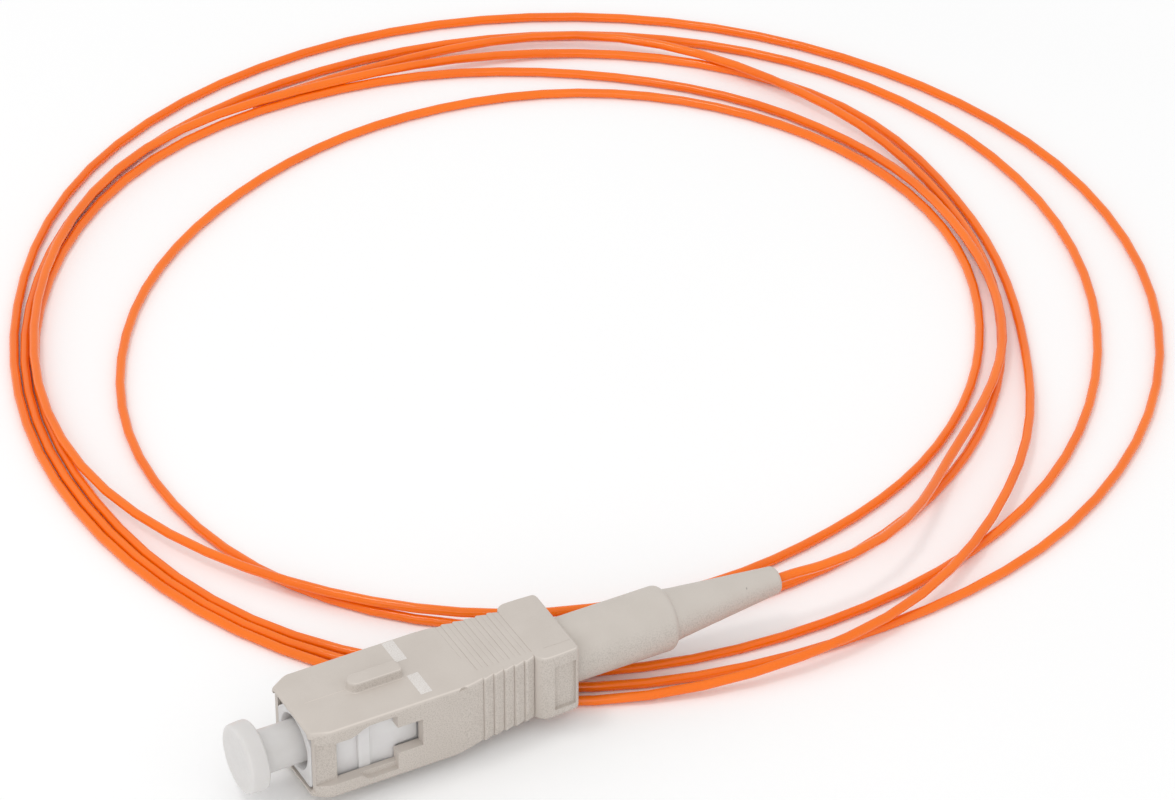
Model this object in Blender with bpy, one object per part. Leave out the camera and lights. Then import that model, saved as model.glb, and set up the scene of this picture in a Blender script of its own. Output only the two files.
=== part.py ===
"""Fibre pigtail: a square push-pull connector with its dust cap and a loosely looped 0.9 mm fibre.

The origin is the centre of the ferrule's end face. +X runs along the connector from the
mating face back to the boot, and +Z is up, on the side of the key. The fibre's loops lie
on the surface that the pigtail rests on, and the connector lies across them.
"""
from math import cos, pi, radians, sin

import bmesh
import bpy
from mathutils import Vector

MM = 0.001

# Coupling sleeve, the outer square housing that the fingers pull
SLEEVE_WIDTH = 9.0 * MM
SLEEVE_HEIGHT = 7.4 * MM
SLEEVE_FRONT_X = 0.5 * MM
SLEEVE_LENGTH = 25.7 * MM
SLEEVE_BLOCK_LENGTH = 14.1 * MM
SLEEVE_CAVITY_LENGTH = 13.5 * MM
SLEEVE_CAVITY_WIDTH = 7.0 * MM
SLEEVE_CAVITY_HEIGHT = 6.5 * MM
SLEEVE_REAR_BORE = 6.3 * MM
SLEEVE_EDGE = 0.35 * MM
NOSE_LENGTH = 1.5 * MM
NOSE_SIDE_INSET = 0.5 * MM
NOSE_TOP_INSET = 0.3 * MM
GRIP_STEP = 0.5 * MM
GRIP_FLAT_LENGTH = 1.9 * MM
GRIP_SIDE_INSET = 0.3 * MM
GRIP_BOTTOM_INSET = 0.2 * MM
GRIP_WAIST = 0.5 * MM
FLARE_LENGTH = 0.8 * MM
COLLAR_LENGTH = 3.2 * MM
COLLAR_SIDE_INSET = 0.2 * MM

# Side windows that the adapter's hooks reach through
WINDOW_FRONT = 2.5 * MM
WINDOW_LENGTH = 5.5 * MM
WINDOW_BOTTOM = 2.2 * MM
WINDOW_TOP_FRONT = 2.3 * MM
WINDOW_TOP_REAR = 3.05 * MM
WINDOW_RISE_START = 1.2 * MM
WINDOW_RISE_LENGTH = 1.7 * MM
SLOT_LENGTH = 2.4 * MM
SLOT_BOTTOM = 1.05 * MM
SLOT_TOP = 1.75 * MM
FRONT_POST_THICKNESS = 0.3 * MM
SHELF_START = 1.7 * MM
SHELF_SLOPE_LENGTH = 0.9 * MM
SHELF_DROP = 0.6 * MM
SHELF_DEPTH = 0.5 * MM

# Key on the sleeve's top
KEY_FRONT = 5.4 * MM
KEY_LENGTH = 5.1 * MM
KEY_WIDTH = 1.6 * MM
KEY_HEIGHT = 1.0 * MM

# Finger ribs on the sides, and the framed panel behind them
RIB_COUNT = 6
RIB_PITCH = 1.05 * MM
RIB_START = 16.45 * MM
RIB_GROOVE_WIDTH = 0.2 * MM
RIB_GROOVE_DEPTH = 0.2 * MM
PANEL_FRONT = 23.2 * MM
PANEL_LENGTH = 2.1 * MM
PANEL_HEIGHT = 4.8 * MM
PANEL_DEPTH = 0.2 * MM

# Plug frame, the white body that the sleeve slides on
SLIDE_GAP = 0.3 * MM
FRAME_FRONT_X = 0.85 * MM
FRAME_NOSE_LENGTH = 2.0 * MM
FRAME_NOSE_CORNER = 1.5 * MM
FRAME_NOSE_INSET = 0.1 * MM
FRAME_MOUTH_BORE = 5.0 * MM
FRAME_MOUTH_DEPTH = 7.35 * MM
FRAME_WEB = 1.2 * MM
FRAME_SHANK_DIAMETER = 5.7 * MM
FRAME_SHANK_LENGTH = 6.3 * MM
FRAME_CHAMBER_BORE = 4.8 * MM
CATCH_FRONT = 4.7 * MM
CATCH_FLAT = 1.1 * MM
CATCH_RAMP = 1.3 * MM
CATCH_HEIGHT = 0.35 * MM
CATCH_SPAN = 3.6 * MM

# Ferrule and the metal flange that carries it
FERRULE_DIAMETER = 2.5 * MM
FERRULE_LENGTH = 10.6 * MM
FERRULE_CHAMFER = 0.35 * MM
FLANGE_DIAMETER = 4.2 * MM
FLANGE_LENGTH = 2.0 * MM
FLANGE_TAIL_DIAMETER = 2.6 * MM
FLANGE_TAIL_LENGTH = 3.0 * MM
FERRULE_SEAT_GAP = 0.1 * MM
REST_GAP = 0.3 * MM
FERRULE_TRAVEL = 1.0 * MM

# Back post that closes the frame and carries the boot
POST_PLUG_LENGTH = 2.6 * MM
POST_COLLAR_LENGTH = 1.5 * MM
POST_STEM_DIAMETER = 3.6 * MM
POST_STEM_LENGTH = 7.5 * MM
POST_BORE = 1.6 * MM
POST_FIT_GAP = 0.15 * MM

# Strain relief boot
BOOT_DIAMETER = 6.0 * MM
BOOT_BARREL_LENGTH = 14.45 * MM
BOOT_SHOULDER_LENGTH = 1.1 * MM
BOOT_NECK_DIAMETER = 4.7 * MM
BOOT_TAPER_LENGTH = 10.7 * MM
BOOT_TIP_DIAMETER = 2.5 * MM
BOOT_TIP_ROUND = 0.25 * MM
BOOT_FIBRE_BORE = 1.5 * MM

# Dust cap over the ferrule
CAP_HEAD_DIAMETER = 6.4 * MM
CAP_HEAD_LENGTH = 1.8 * MM
CAP_HEAD_ROUND = 0.3 * MM
CAP_FRONT_X = -4.6 * MM
CAP_STEM_DIAMETER = 4.0 * MM
CAP_REAR_X = 5.0 * MM
CAP_BORE = 2.9 * MM
CAP_BORE_FRONT_X = -2.6 * MM

# Fibre, its loops and the surface they lie on
FIBRE_DIAMETER = 0.9 * MM
FLOOR_GAP = 1.2 * MM
LAYER_RISE = 0.95 * MM
LOOP_CENTRE = (53.5 * MM, 46.5 * MM)
LOOP_STATIONS = 12
LOOP_FIRST_BEARING = 270.0
LOOP_SAMPLES = 14
FIBRE_START_DEPTH = 1.4 * MM
FIBRE_END_BEARING = 103.0

# Radius of each loop in mm, every 30 degrees from the boot round to the boot
LOOP_RADII = (
    (46.5, 40.0, 39.85, 39.95, 42.1, 44.2, 48.2, 52.1, 52.45, 52.1, 52.9, 51.3),
    (49.1, 48.85, 48.95, 49.95, 51.15, 51.75, 52.4, 53.8, 53.45, 53.15, 53.9, 53.3),
    (52.1, 53.65, 54.85, 54.9, 54.4, 55.2, 56.3, 56.5, 54.6, 54.15, 54.9, 55.2),
    (52.9, 46.4, 41.85, 42.5, 46.7, 48.3, 48.6, 52.9, 52.6, 51.4, 47.4, 43.8),
    (38.95, 37.55, 37.7, 39.2, 40.3, 41.05, 40.9, 41.35, 43.55, 45.95, 46.9, 44.9),
    (42.6, 40.6, 39.8, 41.2, 44.8, 50.1, 50.6, 51.8),
)

# How many layers each loop rides above the surface, at the same bearings
LOOP_LAYERS = (
    (4.5, 1.4, 1, 1, 0, 0, 0, 0, 0, 0, 0, 0),
    (0, 0, 0, 0, 0, 0, 0, 0, 0, 0, 0, 0),
    (0, 0, 0, 0, 0, 0, 0, 0, 0, 0, 0, 0),
    (1.3, 1, 0, 0, 0, 0, 0.9, 1.1, 1, 1, 1, 1),
    (0, 0, 0, 0, 0, 0, 0, 0, 0, 0, 0, 0),
    (0, 0, 0, 0.3, 1, 1, 0, 0),
)

VISIBLE_SIDES = 40
HIDDEN_SIDES = 24
CORNER_STEPS = 2

# Places that several pieces share
SLEEVE_REAR_X = SLEEVE_FRONT_X + SLEEVE_LENGTH
SHOULDER_X = SLEEVE_FRONT_X + SLEEVE_CAVITY_LENGTH
FRAME_WIDTH = SLEEVE_CAVITY_WIDTH - 2 * SLIDE_GAP
FRAME_HEIGHT = SLEEVE_CAVITY_HEIGHT - 2 * SLIDE_GAP
FRAME_SHOULDER_X = SHOULDER_X - REST_GAP
FRAME_REAR_X = FRAME_SHOULDER_X + FRAME_SHANK_LENGTH
WEB_FRONT_X = FRAME_FRONT_X + FRAME_MOUTH_DEPTH
WEB_REAR_X = WEB_FRONT_X + FRAME_WEB
FLANGE_FRONT_X = WEB_REAR_X + REST_GAP
POST_COLLAR_X = FRAME_REAR_X + POST_FIT_GAP
POST_STEM_X = POST_COLLAR_X + POST_COLLAR_LENGTH
BOOT_FRONT_X = POST_STEM_X + REST_GAP
BOOT_BARREL_END_X = BOOT_FRONT_X + BOOT_BARREL_LENGTH
BOOT_NECK_X = BOOT_BARREL_END_X + BOOT_SHOULDER_LENGTH
BOOT_TIP_X = BOOT_NECK_X + BOOT_TAPER_LENGTH
SURFACE_Z = -SLEEVE_HEIGHT / 2 - FLOOR_GAP


def clear_scene():
    """Remove whatever the file opened with."""
    for old in list(bpy.data.objects):
        bpy.data.objects.remove(old, do_unlink=True)


def material(name, colour, roughness, metallic=0.0):
    """A plain Principled material."""
    made = bpy.data.materials.new(name)
    made.use_nodes = True
    shader = made.node_tree.nodes["Principled BSDF"]
    shader.inputs["Base Color"].default_value = (*colour, 1.0)
    shader.inputs["Roughness"].default_value = roughness
    shader.inputs["Metallic"].default_value = metallic
    return made


def add_mesh(name, verts, faces, finish=None):
    """Put a closed mesh in the scene, with its faces pointing out."""
    mesh = bpy.data.meshes.new(name)
    mesh.from_pydata([tuple(v) for v in verts], [], faces)
    work = bmesh.new()
    work.from_mesh(mesh)
    bmesh.ops.remove_doubles(work, verts=work.verts, dist=1e-6)
    bmesh.ops.recalc_face_normals(work, faces=work.faces)
    work.to_mesh(mesh)
    work.free()
    made = bpy.data.objects.new(name, mesh)
    bpy.context.scene.collection.objects.link(made)
    if finish:
        mesh.materials.append(finish)
    return made


def as_cutter(made):
    """Mark an object as a guide that only cuts or joins others."""
    made.hide_render = True
    made.display_type = "WIRE"
    return made


def boolean(target, tool, operation):
    """Apply one cutter or added solid to a piece."""
    as_cutter(tool)
    step = target.modifiers.new(operation.lower(), "BOOLEAN")
    step.operation = operation
    step.object = tool


def ring_points(section, x):
    """A section's (y, z) points as 3-D points at one x."""
    return [Vector((x, y, z)) for y, z in section]


def loft(name, sections, finish=None):
    """A closed solid through (x, section) pairs whose sections have as many points."""
    verts, faces = [], []
    count = len(sections[0][1])
    for x, section in sections:
        verts.extend(ring_points(section, x))
    for row in range(len(sections) - 1):
        for k in range(count):
            a = row * count + k
            b = row * count + (k + 1) % count
            faces.append((a, b, b + count, a + count))
    faces.append(tuple(range(count)))
    last = (len(sections) - 1) * count
    faces.append(tuple(range(last, last + count)))
    return add_mesh(name, verts, faces, finish)


def rounded_rectangle(half_width, half_height, edge):
    """Points of a rectangle with small rounded corners, anticlockwise."""
    points = []
    for turn, (sy, sz) in enumerate(((1, 1), (-1, 1), (-1, -1), (1, -1))):
        for k in range(CORNER_STEPS + 1):
            angle = pi / 2 * (turn + k / CORNER_STEPS)
            y = sy * (half_width - edge) + edge * cos(angle)
            z = sz * (half_height - edge) + edge * sin(angle)
            points.append((y, z))
    return points


def box(name, low, high):
    """A plain block between two corners."""
    section = [(low[1], low[2]), (high[1], low[2]), (high[1], high[2]), (low[1], high[2])]
    return loft(name, [(low[0], section), (high[0], section)])


def turned(name, profile, sides, finish=None):
    """A solid turned about the X axis from a closed (x, radius) profile."""
    verts, faces = [], []
    count = len(profile)
    for k in range(sides):
        angle = 2 * pi * k / sides
        for x, radius in profile:
            verts.append((x, radius * cos(angle), radius * sin(angle)))
    for k in range(sides):
        for i in range(count):
            a = k * count + i
            b = k * count + (i + 1) % count
            c = (k + 1) % sides * count + (i + 1) % count
            d = (k + 1) % sides * count + i
            corners = []
            for index in (a, b, c, d):
                if not any((Vector(verts[index]) - Vector(verts[j])).length < 1e-7 for j in corners):
                    corners.append(index)
            if len(corners) > 2:
                faces.append(tuple(corners))
    made = add_mesh(name, verts, faces, finish)
    made.data.shade_smooth()
    made.data.set_sharp_from_angle(angle=radians(35))
    return made


def side_prism(name, outline, y_low, y_high):
    """An (x, z) outline extruded across the connector."""
    count = len(outline)
    verts = [(x, y_low, z) for x, z in outline] + [(x, y_high, z) for x, z in outline]
    faces = [tuple(range(count)), tuple(range(count, 2 * count))]
    for k in range(count):
        faces.append((k, (k + 1) % count, (k + 1) % count + count, k + count))
    return add_mesh(name, verts, faces)


def top_prism(name, outline, z_low, z_high):
    """An (x, y) outline extruded upwards."""
    count = len(outline)
    verts = [(x, y, z_low) for x, y in outline] + [(x, y, z_high) for x, y in outline]
    faces = [tuple(range(count)), tuple(range(count, 2 * count))]
    for k in range(count):
        faces.append((k, (k + 1) % count, (k + 1) % count + count, k + count))
    return add_mesh(name, verts, faces)


def sleeve_body(finish):
    """The sleeve's outer form: nose, square block, waisted grip and rear collar."""
    half_w = SLEEVE_WIDTH / 2
    half_h = SLEEVE_HEIGHT / 2
    block_end = SLEEVE_FRONT_X + SLEEVE_BLOCK_LENGTH
    grip_end = SLEEVE_REAR_X - COLLAR_LENGTH
    grip_w = half_w - GRIP_SIDE_INSET
    grip_low = GRIP_BOTTOM_INSET - half_h
    waist_w = grip_w - GRIP_WAIST
    collar_w = half_w - COLLAR_SIDE_INSET
    nose_top = half_h - NOSE_TOP_INSET
    stations = (
        (SLEEVE_FRONT_X, half_w - NOSE_SIDE_INSET, -nose_top, nose_top),
        (SLEEVE_FRONT_X + NOSE_LENGTH, half_w, -half_h, half_h),
        (block_end, half_w, -half_h, half_h),
        (block_end + GRIP_STEP, grip_w, grip_low, half_h),
        (block_end + GRIP_STEP + GRIP_FLAT_LENGTH, grip_w, grip_low, half_h),
        (grip_end - FLARE_LENGTH, waist_w, grip_low, half_h),
        (grip_end, collar_w, grip_low, half_h),
        (SLEEVE_REAR_X, collar_w, grip_low, half_h),
    )
    sections = []
    for x, width, low, high in stations:
        ring = rounded_rectangle(width, (high - low) / 2, SLEEVE_EDGE)
        sections.append((x, [(y, z + (high + low) / 2) for y, z in ring]))
    return loft("grip_sleeve", sections, finish)


def window_outline():
    """The side window with its stepped rear slot."""
    front = SLEEVE_FRONT_X + WINDOW_FRONT
    rear = front + WINDOW_LENGTH
    rise = front + WINDOW_RISE_START
    return [
        (front, -WINDOW_BOTTOM),
        (rear, -WINDOW_BOTTOM),
        (rear, -SLOT_BOTTOM),
        (rear + SLOT_LENGTH, -SLOT_BOTTOM),
        (rear + SLOT_LENGTH, SLOT_TOP),
        (rear, SLOT_TOP),
        (rear, WINDOW_TOP_REAR),
        (rise + WINDOW_RISE_LENGTH, WINDOW_TOP_REAR),
        (rise, WINDOW_TOP_FRONT),
        (front, WINDOW_TOP_FRONT),
    ]


def key_outline():
    """The key seen from above, with a round front end."""
    half = KEY_WIDTH / 2
    front = SLEEVE_FRONT_X + KEY_FRONT
    rear = front + KEY_LENGTH
    arc = [(front + half - half * sin(a), half * cos(a)) for a in (k * pi / 8 for k in range(9))]
    return [(rear, half)] + arc + [(rear, -half)]


def make_sleeve(finish):
    """The coupling sleeve with its cavity, windows, key, finger ribs and panels."""
    sleeve = sleeve_body(finish)
    boolean(sleeve, top_prism("key_block", key_outline(), SLEEVE_CAVITY_HEIGHT / 2 + SLIDE_GAP / 2,
                              SLEEVE_HEIGHT / 2 + KEY_HEIGHT), "UNION")
    overrun = 1 * MM
    half_w = SLEEVE_CAVITY_WIDTH / 2
    half_h = SLEEVE_CAVITY_HEIGHT / 2
    cavity = box("cavity", (SLEEVE_FRONT_X - overrun, -half_w, -half_h), (SHOULDER_X, half_w, half_h))
    boolean(sleeve, cavity, "DIFFERENCE")
    bore = turned("rear_bore", [(SHOULDER_X - overrun, 0), (SLEEVE_REAR_X + overrun, 0),
                                (SLEEVE_REAR_X + overrun, SLEEVE_REAR_BORE / 2),
                                (SHOULDER_X - overrun, SLEEVE_REAR_BORE / 2)], VISIBLE_SIDES)
    boolean(sleeve, bore, "DIFFERENCE")
    window = side_prism("windows", window_outline(), -SLEEVE_WIDTH, SLEEVE_WIDTH)
    boolean(sleeve, window, "DIFFERENCE")
    for side in (-1, 1):
        cut_side_details(sleeve, side)
    return sleeve


def side_cutter(name, outline, side, floor):
    """A cutter with an (x, z) outline that bites into the sleeve's side down to y = floor."""
    low, high = sorted((side * floor, side * SLEEVE_WIDTH))
    return side_prism(name, outline, low, high)


def upright(x_low, x_high, z_low, z_high):
    """A rectangle in (x, z)."""
    return [(x_low, z_low), (x_high, z_low), (x_high, z_high), (x_low, z_high)]


def shelf_outline():
    """The step in the outer half of the wall below the window, with a sloped front."""
    front = SLEEVE_FRONT_X + WINDOW_FRONT + SHELF_START
    rear = SLEEVE_FRONT_X + WINDOW_FRONT + WINDOW_LENGTH
    low = -WINDOW_BOTTOM - SHELF_DROP
    return [(front, -WINDOW_BOTTOM), (front + SHELF_SLOPE_LENGTH, low), (rear, low),
            (rear, -WINDOW_BOTTOM + SHELF_DROP), (front, -WINDOW_BOTTOM + SHELF_DROP)]


def cut_side_details(sleeve, side):
    """The lowered front post, the shelf, the finger grooves and the framed panel of one side."""
    half_w = SLEEVE_WIDTH / 2
    front = SLEEVE_FRONT_X + WINDOW_FRONT
    channel = upright(SLEEVE_FRONT_X - MM, front + MM, -WINDOW_BOTTOM, WINDOW_TOP_FRONT)
    post = side_cutter("front_channel", channel, side, SLEEVE_CAVITY_WIDTH / 2 + FRONT_POST_THICKNESS)
    boolean(sleeve, post, "DIFFERENCE")
    boolean(sleeve, side_cutter("shelf", shelf_outline(), side, half_w - SHELF_DEPTH), "DIFFERENCE")
    grip_w = half_w - GRIP_SIDE_INSET
    grip_start = SLEEVE_FRONT_X + SLEEVE_BLOCK_LENGTH + GRIP_STEP + GRIP_FLAT_LENGTH
    grip_length = SLEEVE_REAR_X - COLLAR_LENGTH - FLARE_LENGTH - grip_start
    half_groove = RIB_GROOVE_WIDTH / 2
    for k in range(RIB_COUNT):
        x = SLEEVE_FRONT_X + RIB_START + k * RIB_PITCH
        along = min(max((x - grip_start) / grip_length, 0), 1)
        floor = grip_w - GRIP_WAIST * along - RIB_GROOVE_DEPTH
        cut = upright(x - half_groove, x + half_groove, -SLEEVE_HEIGHT, SLEEVE_HEIGHT)
        boolean(sleeve, side_cutter("rib_groove", cut, side, floor), "DIFFERENCE")
    panel_x = SLEEVE_FRONT_X + PANEL_FRONT
    panel = upright(panel_x, panel_x + PANEL_LENGTH, -PANEL_HEIGHT / 2, PANEL_HEIGHT / 2)
    floor = half_w - COLLAR_SIDE_INSET - PANEL_DEPTH
    boolean(sleeve, side_cutter("panel_recess", panel, side, floor), "DIFFERENCE")


def make_frame(finish):
    """The plug frame: square block, ferrule mouth, web, spring chamber and side catches."""
    half_w = FRAME_WIDTH / 2
    half_h = FRAME_HEIGHT / 2
    nose = rounded_rectangle(half_w - FRAME_NOSE_INSET, half_h - FRAME_NOSE_INSET, FRAME_NOSE_CORNER)
    section = rounded_rectangle(half_w, half_h, SLEEVE_EDGE)
    frame = loft("plug_frame", [(FRAME_FRONT_X, nose), (FRAME_FRONT_X + FRAME_NOSE_LENGTH, section),
                                (FRAME_SHOULDER_X, section)], finish)
    shank = turned("shank", [(WEB_REAR_X, 0), (FRAME_REAR_X, 0), (FRAME_REAR_X, FRAME_SHANK_DIAMETER / 2),
                             (WEB_REAR_X, FRAME_SHANK_DIAMETER / 2)], HIDDEN_SIDES)
    boolean(frame, shank, "UNION")
    for side in (-1, 1):
        catch_x = SLEEVE_FRONT_X + CATCH_FRONT
        root = half_w - CATCH_HEIGHT
        tip = half_w + CATCH_HEIGHT
        outline = [(catch_x, side * root), (catch_x, side * tip), (catch_x + CATCH_FLAT, side * tip),
                   (catch_x + CATCH_FLAT + CATCH_RAMP, side * half_w), (catch_x + CATCH_FLAT + CATCH_RAMP, side * root)]
        boolean(frame, top_prism("catch", outline, -CATCH_SPAN / 2, CATCH_SPAN / 2), "UNION")
    overrun = 1 * MM
    ferrule_hole = FERRULE_DIAMETER / 2 + REST_GAP
    mouth = FRAME_MOUTH_BORE / 2
    chamber = FRAME_CHAMBER_BORE / 2
    bore = turned("frame_bore", [(FRAME_FRONT_X - overrun, 0), (FRAME_REAR_X + overrun, 0),
                                 (FRAME_REAR_X + overrun, chamber), (WEB_REAR_X, chamber),
                                 (WEB_REAR_X, ferrule_hole), (WEB_FRONT_X, ferrule_hole), (WEB_FRONT_X, mouth),
                                 (FRAME_FRONT_X - overrun, mouth)], VISIBLE_SIDES)
    boolean(frame, bore, "DIFFERENCE")
    return frame


def make_ferrule(ceramic, metal):
    """The ceramic ferrule, whose end face is at the origin, and its metal flange."""
    radius = FERRULE_DIAMETER / 2
    ferrule = turned("ferrule", [(0, 0), (0, radius - FERRULE_CHAMFER), (FERRULE_CHAMFER, radius),
                                 (FERRULE_LENGTH, radius), (FERRULE_LENGTH, 0)], HIDDEN_SIDES, ceramic)
    seat = radius + FERRULE_SEAT_GAP
    seat_end = FERRULE_LENGTH + FERRULE_SEAT_GAP
    flange_end = FLANGE_FRONT_X + FLANGE_LENGTH
    tail_end = flange_end + FLANGE_TAIL_LENGTH
    tail = FLANGE_TAIL_DIAMETER / 2
    passage = FIBRE_DIAMETER / 2 + REST_GAP
    flange = turned("ferrule_flange", [(FLANGE_FRONT_X, seat), (FLANGE_FRONT_X, FLANGE_DIAMETER / 2),
                                       (flange_end, FLANGE_DIAMETER / 2), (flange_end, tail), (tail_end, tail),
                                       (tail_end, passage), (seat_end, passage), (seat_end, seat)],
                    HIDDEN_SIDES, metal)
    return ferrule, flange


def make_back_post(finish):
    """The post that plugs the frame's rear and holds the boot."""
    plug = FRAME_CHAMBER_BORE / 2 - POST_FIT_GAP
    collar = FRAME_SHANK_DIAMETER / 2
    stem = POST_STEM_DIAMETER / 2
    hole = POST_BORE / 2
    front = POST_COLLAR_X - POST_PLUG_LENGTH
    rear = POST_STEM_X + POST_STEM_LENGTH
    return turned("back_post", [(front, hole), (front, plug), (POST_COLLAR_X, plug), (POST_COLLAR_X, collar),
                                (POST_STEM_X, collar), (POST_STEM_X, stem), (rear, stem), (rear, hole)],
                  HIDDEN_SIDES, finish)


def make_boot(finish):
    """The boot: a barrel over the post's stem, a shoulder and a long taper to the fibre."""
    barrel = BOOT_DIAMETER / 2
    neck = BOOT_NECK_DIAMETER / 2
    tip = BOOT_TIP_DIAMETER / 2
    stem_bore = POST_STEM_DIAMETER / 2 + POST_FIT_GAP
    stem_end = POST_STEM_X + POST_STEM_LENGTH + REST_GAP
    hole = BOOT_FIBRE_BORE / 2
    profile = [
        (BOOT_FRONT_X, stem_bore),
        (BOOT_FRONT_X, barrel),
        (BOOT_BARREL_END_X, barrel),
        (BOOT_BARREL_END_X + BOOT_SHOULDER_LENGTH / 2, barrel - (barrel - neck) / 4),
        (BOOT_NECK_X, neck),
        (BOOT_TIP_X - BOOT_TIP_ROUND, tip),
        (BOOT_TIP_X, tip - BOOT_TIP_ROUND),
        (BOOT_TIP_X, hole),
        (stem_end, hole),
        (stem_end, stem_bore),
    ]
    return turned("boot", profile, VISIBLE_SIDES, finish)


def make_cap(finish):
    """The dust cap: a round head and a tubular stem over the ferrule."""
    head = CAP_HEAD_DIAMETER / 2
    stem = CAP_STEM_DIAMETER / 2
    head_end = CAP_FRONT_X + CAP_HEAD_LENGTH
    bore = CAP_BORE / 2
    profile = [
        (CAP_FRONT_X, 0),
        (CAP_FRONT_X, head - CAP_HEAD_ROUND),
        (CAP_FRONT_X + CAP_HEAD_ROUND, head),
        (head_end - CAP_HEAD_ROUND, head),
        (head_end, head - CAP_HEAD_ROUND),
        (head_end, stem),
        (CAP_REAR_X, stem),
        (CAP_REAR_X, bore),
        (CAP_BORE_FRONT_X, bore),
        (CAP_BORE_FRONT_X, 0),
    ]
    return turned("dust_cap", profile, VISIBLE_SIDES, finish)


def spline_value(values, position):
    """A smooth value through evenly spaced values, flat at the start."""
    low = min(int(position), len(values) - 2)
    t = position - low
    before = values[low - 1] if low else values[1]
    a, b = values[low], values[low + 1]
    after = values[low + 2] if low + 2 < len(values) else b
    rise_a = (b - before) / 2
    rise_b = (after - a) / 2
    return ((2 * t**3 - 3 * t**2 + 1) * a + (t**3 - 2 * t**2 + t) * rise_a
            + (3 * t**2 - 2 * t**3) * b + (t**3 - t**2) * rise_b)


def eased_value(values, position):
    """A value that eases from each station to the next and never passes either."""
    low = min(int(position), len(values) - 2)
    t = position - low
    ease = t * t * (3 - 2 * t)
    return values[low] + (values[low + 1] - values[low]) * ease


def loop_point(bearing):
    """The fibre's centre at a bearing that keeps counting through the loops."""
    radii = [r for turn in LOOP_RADII for r in turn]
    layers = [n for turn in LOOP_LAYERS for n in turn]
    position = (bearing - LOOP_FIRST_BEARING) * LOOP_STATIONS / 360
    radius = spline_value(radii, position) * MM
    height = SURFACE_Z + FIBRE_DIAMETER / 2 + eased_value(layers, position) * LAYER_RISE
    x = LOOP_CENTRE[0] + radius * cos(radians(bearing))
    y = LOOP_CENTRE[1] + radius * sin(radians(bearing))
    return Vector((x, y, height))


def fibre_points():
    """The fibre's route: straight out of the boot, then round the loops at shared bearings."""
    points = [Vector((BOOT_TIP_X - FIBRE_START_DEPTH, 0, 0)), Vector((BOOT_TIP_X + FIBRE_START_DEPTH, 0, 0)),
              loop_point(LOOP_FIRST_BEARING)]
    last = FIBRE_END_BEARING + 360 * len(LOOP_RADII)
    step = 360 / LOOP_SAMPLES
    count = int((last - LOOP_FIRST_BEARING) / step)
    points.extend(loop_point(last - step * k) for k in reversed(range(count + 1)))
    return points


def make_fibre(finish):
    """The fibre as one tube along its route."""
    curve = bpy.data.curves.new("fibre", "CURVE")
    curve.dimensions = "3D"
    curve.bevel_depth = FIBRE_DIAMETER / 2
    curve.bevel_resolution = 2
    curve.use_fill_caps = True
    points = fibre_points()
    spline = curve.splines.new("POLY")
    spline.points.add(len(points) - 1)
    for slot, point in zip(spline.points, points):
        slot.co = (*point, 1)
    curve.materials.append(finish)
    made = bpy.data.objects.new("fibre", curve)
    bpy.context.scene.collection.objects.link(made)
    return made


def build():
    """Model every piece."""
    clear_scene()
    beige = material("beige_plastic", (0.62, 0.56, 0.51), 0.55)
    white = material("white_plastic", (0.85, 0.85, 0.84), 0.45)
    clear = material("soft_cap_plastic", (0.80, 0.79, 0.78), 0.5)
    ceramic = material("zirconia", (0.9, 0.89, 0.86), 0.2)
    metal = material("nickel", (0.7, 0.69, 0.66), 0.3, 1.0)
    orange = material("fibre_buffer", (0.92, 0.27, 0.04), 0.4)
    make_sleeve(beige)
    make_frame(white)
    make_ferrule(ceramic, metal)
    make_back_post(metal)
    make_boot(beige)
    make_cap(clear)
    make_fibre(orange)


build()
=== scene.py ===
"""Looks of the fibre pigtail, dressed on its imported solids.

Lengths named in mm are turned into metres by MM. +X runs from the mating face back to the
boot, and +Z is up, on the side of the key.
"""
from math import cos, pi, radians, sin

import bmesh
import bpy
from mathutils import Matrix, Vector


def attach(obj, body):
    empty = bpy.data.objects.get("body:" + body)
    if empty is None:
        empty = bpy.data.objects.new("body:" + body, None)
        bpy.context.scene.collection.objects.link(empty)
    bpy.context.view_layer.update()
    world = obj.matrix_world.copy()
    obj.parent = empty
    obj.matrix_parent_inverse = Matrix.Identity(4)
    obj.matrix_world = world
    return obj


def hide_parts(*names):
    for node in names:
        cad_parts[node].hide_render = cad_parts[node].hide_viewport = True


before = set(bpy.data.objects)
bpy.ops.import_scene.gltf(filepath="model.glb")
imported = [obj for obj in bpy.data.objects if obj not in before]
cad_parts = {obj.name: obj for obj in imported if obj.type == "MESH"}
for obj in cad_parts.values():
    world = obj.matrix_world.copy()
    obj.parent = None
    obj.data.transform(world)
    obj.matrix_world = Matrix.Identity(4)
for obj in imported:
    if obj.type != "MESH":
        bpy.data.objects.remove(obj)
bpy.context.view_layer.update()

MM = 0.001
FLOOR_Z = -4.9

# Camera, at the photograph's viewpoint
CAMERA_PLACE = (-0.14529, -0.32937, 0.30493)
CAMERA_TARGET = (0.04884, 0.03711, -0.0049)
CAMERA_LENS = 168.51

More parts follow.
